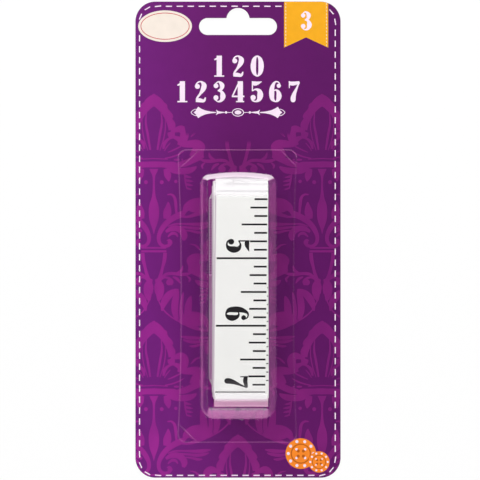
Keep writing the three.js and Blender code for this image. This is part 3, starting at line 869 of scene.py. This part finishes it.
# One half of the damask motif, on a grid of 227 to its repeat of 87.4 mm, down from the tip of its crown
DAMASK_GRID = 87.4 / 227
DAMASK_HALF = [
    # the pointed crown with its scalloped outer edge
    [(0, 1, 2), (0, 6, 10), (0, 9, 11)],
    [(0, 7.5, 12), (4, 9.8, 10.5), (8.5, 14.7, 9), (12, 20, 7.5), (15, 26, 7), (17, 32, 6.5), (18, 37, 6.5)],
    [(9, 9.5, 1.5), (11.5, 12.5, 3.5), (12.5, 15, 2)], [(14, 17, 1.5), (17, 22, 3.5), (18.5, 25, 2)],
    [(18.5, 27, 1.5), (20, 31, 3), (20.5, 34.5, 2)],
    # petals inside the crown
    [(7.3, 19, .8), (8, 30, 1.9), (6, 42, 2.4), (3.6, 57, 1.8)],
    [(11.5, 27, .6), (11.5, 36, 1.1), (9.5, 47, 1.2), (6, 57.5, .7)],
    # the two lobes beside it, and the small arch below them
    [(16, 39, 5), (17.5, 42, 7), (21, 42.5, 6)], [(20, 44, 3), (25, 46.2, 5), (28, 47.5, 4)],
    [(17, 38, 5), (22, 37, 5), (27, 36.2, 7.5), (30.5, 39.5, 8.5), (30, 45, 8.5), (28, 50, 7)],
    [(24, 49.5, 4), (30, 51.5, 5.5), (37, 51, 7.5), (44, 51, 8), (48.5, 54, 6), (48.5, 59, 2.5)],
    [(36.5, 63.5, 2.5), (41, 59, 8), (46, 57, 13), (50, 57, 10)],
    [(9.5, 56, 2), (11, 50, 3.4), (15, 46, 2.4), (20, 44.6, 2), (24, 47.5, 2), (26, 52, 1.6)],
    [(10.5, 58, .8), (13, 54, 1.2), (16.5, 50, .7)],
    [(37, 44, .6), (40, 41, 2.2), (43, 38.5, 1.6), (48, 37.5, .6)],
    [(14, 59.5, .8), (20, 57, 1.6), (27, 53.5, 1.2)],
    [(11, 65.4, 1), (18, 64, 1.5), (25, 61.4, 1.5), (30, 58.5, .8)],
    [(0, 65.6, 1), (8, 66, 1), (14, 66.3, 1)], [(20, 66.9, 1.2), (23, 66.8, 2.2), (25.5, 66.9, 1)],
    # the band and the leaves that hang from it
    [(0, 71.5, 6.2), (8, 71.6, 5.8), (14, 72, 6.5), (20, 72.5, 7), (25, 74, 5)],
    [(24, 72, 5), (31, 70.5, 6.5), (38, 67.5, 6.5), (45, 64.5, 6), (50, 63, 3)],
    [(13, 75.6, 2), (20, 77.4, 6.2), (28, 78.2, 6.4), (36, 77.4, 6), (41, 75, 3.4), (42.5, 73.4, 1)],
    [(30.5, 81, 1), (31.5, 88, 1.8), (33, 96, .8)], [(31, 83, 2.4), (34, 84, 2.2), (37.5, 84.5, .6)],
    [(31.5, 87, 2), (35, 88, 2.4), (39, 88.5, .6)], [(32, 91, 1.8), (35.5, 92, 2.2), (39, 92.5, .6)],
    [(32.5, 95, 1.4), (35.5, 96, 1.7), (38, 96.5, .5)],
    # the cup, its stem and the drop
    [(0, 76, 9), (0, 79, 6.5), (0, 84, 2.6), (0, 95, 2.2), (0, 104, 4), (0, 112, 9), (0, 120, 10.4),
     (0, 128, 8.5), (0, 136, 3), (0, 141, .5)],
    [(11, 76, 3), (13.5, 81, 7), (14.5, 85, 5.2), (15, 88.5, 1)],
    # small leaves beside the drop
    [(12.5, 126, 6), (13.5, 119.5, 8.2), (14.3, 113.5, 5), (14.3, 109, 1)],
    [(13.5, 101.8, 1.2), (17.5, 101.6, 2), (20.6, 104.5, 2.8), (21.8, 110, 3.2), (22.4, 118, 2.4),
     (23, 122, 2)],
    # the large leaf, which runs down into a scroll
    [(31, 119, 4), (27, 121.5, 6), (20, 124.8, 6), (13, 129.8, 5.5), (8, 136, 5), (5, 143, 4),
     (5.5, 149.5, 3.6), (9.5, 153.2, 3.2), (14.6, 152.6, 3.2), (17.2, 149.6, 2.8), (15.5, 147, 2),
     (13, 148, 1)],
    [(30, 120, 3), (33, 114.8, 8), (38, 113, 13), (44, 112.5, 15), (50, 112.5, 14), (55, 114, 10),
     (59, 115, 3)],
    [(27, 123, 3), (33, 124, 2.2), (39, 122.5, 3.4), (45, 120.5, 4), (52, 118, 3)],
    # the feathered leaf below it
    [(14, 133.5, 1), (21, 131.2, 1.6), (30, 131, 1.8), (41, 131.4, 3), (50, 131, 3.6), (57, 129.8, 1)],
    [(16, 135, 1), (24, 134, 1.8), (34, 134.6, 2.2), (43, 135.4, 3.2), (51, 134.4, 2.6), (55, 133, 1)],
    [(30, 137.4, .8), (37, 138, 2), (44, 139.6, 2.6), (48.5, 139.4, 1)],
    [(12, 139, 2.5), (17, 136, 5), (23, 135.5, 6), (28.5, 138.5, 6.5), (30.5, 143, 6.5), (29.5, 147.5, 3)],
    [(14, 144, 1.2), (18, 140.5, 3), (22, 141, 2.6), (24, 144, 1.2)],
    # the vase
    [(0, 155, 1.6), (12.3, 155, 1.6)], [(0, 158.4, 2.2), (12.6, 158.4, 2.2)],
    [(11.2, 160, 3.6), (10.6, 167, 3.8), (9, 173.5, 3), (7.4, 180, 3.2), (5, 187.5, 3.8), (3.2, 194, 5.5),
     (3.5, 201, 4)],
    # the foliage at its foot
    [(7.5, 184.5, 1.5), (12.5, 181.3, 3), (19, 180.6, 3), (26, 181.5, 3.2), (33, 181.2, 3), (39, 179.3, 1)],
    [(23, 180.5, 2), (27.5, 177.5, 3), (29, 173, 1)], [(19, 184, 1.5), (23.5, 186.2, 3), (26.5, 190.5, 1)],
    [(33, 183, 1), (36, 186, 2.4), (35, 189, 1)],
    [(5.5, 192, 2), (6.5, 187.5, 2), (10.5, 184.6, 2), (15, 185.4, 2.6), (18.2, 188.6, 3), (17, 192, 2.6)],
    [(2.5, 186, 3), (5.5, 192, 8), (6, 198, 8.5), (5.5, 204, 6), (4.5, 208, 2)],
    [(8, 218, 1.5), (10, 210, 6.5), (14, 203.5, 7.5), (18.5, 199.5, 6), (23, 196.5, 2)],
    [(23, 227, 4), (21, 218, 6.5), (21.3, 209, 7), (23, 201, 5), (24, 196, 1.5)],
    [(28.5, 229, 4), (27.2, 220, 4.4), (27.6, 211, 3.6), (28.8, 203, 2.6), (29.5, 199.5, 1)],
    [(33.5, 231, 7), (34, 222, 7.5), (34.6, 213, 7), (36, 206.5, 4.5), (37.3, 203.3, 1.2)],
    [(3.5, 205, 1.2), (9, 216, 1.4), (16, 223, 1.4), (25, 228.5, 1.3), (36, 231, 1)],
]
# Its beads, as (x, y, radius) on the same grid
DAMASK_BEADS = [(28.4, 66.8, 1), (7.9, 89.3, 2), (22, 88.5, 1.7), (16.2, 149.7, 2.5), (15.3, 189.5, 3.1)]


def damask(ink):
    """The tone-on-tone pattern: one motif in columns with a half drop, cut off at the card's edge."""
    half = [brush([(x, -y, width) for x, y, width in stroke], 4) for stroke in DAMASK_HALF]
    half += [disc(x, -y, radius, count=12) for x, y, radius in DAMASK_BEADS]
    vertices, faces = joined(both_sides(half))
    motif = mesh_piece("damask_motif", [(x * DAMASK_GRID, y * DAMASK_GRID, 0) for x, y in vertices],
                       faces, ink)
    tips = [(0, 100.1), (0, 12.7), (0, -74.7), (-32.4, 56.5), (-32.4, -30.9), (32.4, 56.5), (32.4, -30.9)]
    base = mesh_piece("damask_places", [(x, y, 0) for x, y in tips], [])

    tree, given, add = start_nodes("motifs at places", {
        "Places": "Geometry", "Motif": "Object", "Ink": "Material"})
    single = add("GeometryNodeObjectInfo", {"Object": given["Motif"]})
    motifs = add("GeometryNodeInstanceOnPoints", {
        "Points": given["Places"], "Instance": single.outputs["Geometry"]})
    finish_nodes(add, motifs, given["Ink"])
    piece = grown("damask_uncut", base, tree, {"Motif": motif, "Ink": ink})
    bpy.data.objects.remove(motif)

    work = bmesh.new()
    work.from_mesh(piece.data)
    bare_edge = 0.15
    reach = CARD_CORNER - bare_edge
    cuts = [(0, DAMASK_TOP, 0, 1)]
    for number, (side, end) in enumerate(((1, 1), (-1, 1), (-1, -1), (1, -1))):
        x, y = side * (CARD_HALF_WIDTH - CARD_CORNER), end * (CARD_HALF_LENGTH - CARD_CORNER)
        for out_x, out_y in quarter(0, 0, 1, number, 6):
            cuts.append((x + reach * out_x, y + reach * out_y, out_x, out_y))
    for x, y, out_x, out_y in cuts:
        bmesh.ops.bisect_plane(work, geom=work.verts[:] + work.edges[:] + work.faces[:], clear_outer=True,
                               plane_co=(x * MM, y * MM, 0), plane_no=(out_x, out_y, 0))
    work.to_mesh(piece.data)
    work.free()
    cut = [([(v.co.x / MM, v.co.y / MM) for v in piece.data.vertices],
            [list(face.vertices) for face in piece.data.polygons])]
    bpy.data.objects.remove(piece)
    return print_piece("damask_print", cut, 1, ink)


def discs_round(across, along, reach, count, radius, turn=0.0):
    """Discs set in a circle."""
    return [disc(*place, radius) for place in circle(across, along, reach, reach, count, turn)]


def spotted_button(across, along, radius):
    """A sewing button seen from the front, as (rim, well, spots, holes)."""
    spots = discs_round(across, along, radius * .82, 10, radius * .1)
    spots += discs_round(across, along, radius * .4, 4, radius * .08, .5)
    holes = discs_round(across, along, radius * .17 * math.sqrt(2), 4, radius * .1, .5)
    well = ring(across, along, radius * .62, radius * .62, radius * .07)
    return disc(across, along, radius, count=48), well, spots, holes


def card_print():
    """Every print on the card but the damask, each layer one ink film higher."""
    white = material("white offset ink", printing_ink, "#eedcec")
    cream = material("cream offset ink", printing_ink, "#e9ddd2")
    yellow = material("golden yellow offset ink", printing_ink, "#e9a41b")
    orange = material("orange offset ink", printing_ink, "#ef8527")
    brown = material("dark orange offset ink", printing_ink, "#b3560f")
    red = material("red offset ink", printing_ink, "#c4484c")
    yield from sewn_lines(white, cream)
    yield print_piece("heading_numbers", numbers("120", 0.0, 62.75, 8.2, 7.4)
                      + numbers("1234567", 0.0, 52.9, 8.2, 7.2), 2, white)
    yield print_piece("divider", [moved(shape, 0, 48.99) for shape in divider()], 2, white)
    yield print_piece("tag", tag_shape(), 2, yellow)
    yield print_piece("tag_number", numbers("3", (TAG_LEFT + TAG_RIGHT) / 2, 80.6, 7.4, 5), 3, white)
    yield print_piece("oval_label", [disc(*OVAL_PLACE, 10.35, 6.07, 64)], 2, cream)
    yield print_piece("oval_line", [ring(*OVAL_PLACE, 9.3, 5.05, 0.28, 64)], 3, red)
    for name, place, layer in (("large", (24.2, -82.4, 5.9), 2), ("small", (31.2, -85.6, 4.1), 4)):
        rim, well, spots, holes = spotted_button(*place)
        yield print_piece(f"{name}_button", [rim], layer, orange)
        yield print_piece(f"{name}_button_well", [well] + holes, layer + 1, brown)
        yield print_piece(f"{name}_button_spots", spots, layer + 1, white)


# Light, floor and camera

def softbox(name, place, size, power):
    """A rectangular lamp that looks at the middle of the card, in metres and watts."""
    lamp = bpy.data.lights.new(name, "AREA")
    lamp.shape = "RECTANGLE"
    lamp.size, lamp.size_y = size
    lamp.energy = power
    made = new_object(name, lamp)
    made.location = place
    made.rotation_euler = (-Vector(place)).to_track_quat("-Z", "Y").to_euler()


def studio():
    """A white paper floor in a pale room, four soft lamps and the camera."""
    scene = bpy.context.scene
    scene.view_settings.view_transform = "Standard"
    world = bpy.data.worlds.new("studio")
    scene.world = world
    world.use_nodes = True
    world.node_tree.nodes.clear()
    add = nodes_of(world.node_tree)
    way = add("TexCoord").outputs["Generated"]
    up = add("SeparateXYZ", {0: way}).outputs["Z"]
    # Pale walls round about, and a darker ceiling where the camera stands
    ramp = add("ValToRGB", {"Fac": up})
    for stop, spot, grey in zip(ramp.color_ramp.elements, (0.25, 0.8), (0.95, 0.06)):
        stop.position, stop.color = spot, (grey, grey, grey, 1)
    light = add("Background", {"Color": ramp, "Strength": 0.6})
    add("OutputWorld", {"Surface": light})

    softbox("window", (0.0, 0.55, 0.4), (0.9, 0.5), 5.0)
    softbox("fill", (0.0, -0.6, 0.4), (0.9, 0.4), 3.3)
    softbox("side_left", (-0.6, 0.0, 0.45), (0.4, 0.6), 1.1)
    softbox("side_right", (0.6, 0.0, 0.45), (0.4, 0.6), 0.9)

    corners = [(3000 * x, 3000 * y, -0.1) for x, y in ((-1, -1), (1, -1), (1, 1), (-1, 1))]
    floor = mesh_piece("floor", corners, [[0, 1, 2, 3]], material("white paper sweep", paper_sweep))

    lens = bpy.data.cameras.new("camera")
    lens.sensor_width = SENSOR
    lens.lens = SENSOR * CAMERA_PLACE[2] * PIXELS_PER_MM / PICTURE_SIDE
    lens.clip_start = 0.01
    scene.camera = new_object("camera", lens)
    scene.camera.location = [c * MM for c in CAMERA_PLACE]


studio()

# The tape's last colour is painted shade along its left edge
white_cloth = material("white vinyl-coated glass-fibre tape", coated_cloth, "#e9ece6", "#f1f4ee", "#c9bcc6")
# Painted shade: the tape's reverse is a dark lilac for the shade deep in the coil and the purple it takes
# from the card
shaded_reverse_cloth = material("reverse of the vinyl-coated tape, lilac with painted shade", coated_cloth, "#ad66a4", "#b672ad",
                       "#ad66a4")
scale_ink = material("black scale ink", printing_ink, "#262527", 0.25)
# Painted shade: the metric scale's ink is a dark lilac, for dark ink seen in the coil's shade with purple
# reflected on it
shaded_metric_ink = material("scale ink, dark lilac with painted shade", printing_ink, "#7f4479", 0.5)

tape = wound_tape(white_cloth, shaded_reverse_cloth)
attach(tape, "card")
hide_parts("tape")
for print_on_tape in (tape_numerals(scale_ink), inch_scale(scale_ink), second_turn_scale(scale_ink),
                      millimetre_scale(shaded_metric_ink)):
    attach(print_on_tape, "card")

# Painted reflection: the steel is coloured pink for the purple card it reflects
steel_with_painted_reflection = material("nickel-plated sheet steel", plated_steel, "#f6cfe7")
# Painted shade: the inner tip's steel is a darker copy, for the shade in the eye of the coil
steel_with_painted_shade = material("nickel-plated sheet steel with painted shade of the coil", plated_steel, "#cd93c4")
for solid, finish in (("outer_end_tip", steel_with_painted_reflection), ("inner_end_tip", steel_with_painted_shade),
                      ("backing_card", material("varnished purple print on carton", varnished_board))):
    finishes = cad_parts[solid].data.materials
    finishes.clear()
    finishes.append(finish)

for print_on_card in (damask(material("lighter purple offset ink", damask_ink)), *card_print()):
    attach(print_on_card, "card")

plastic = material("clear thermoformed sheet", clear_sheet)
blister = blister_sheet(plastic)
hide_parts("blister_shell")
for sheet in (blister, flange_creases(plastic)):
    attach(sheet, "blister")
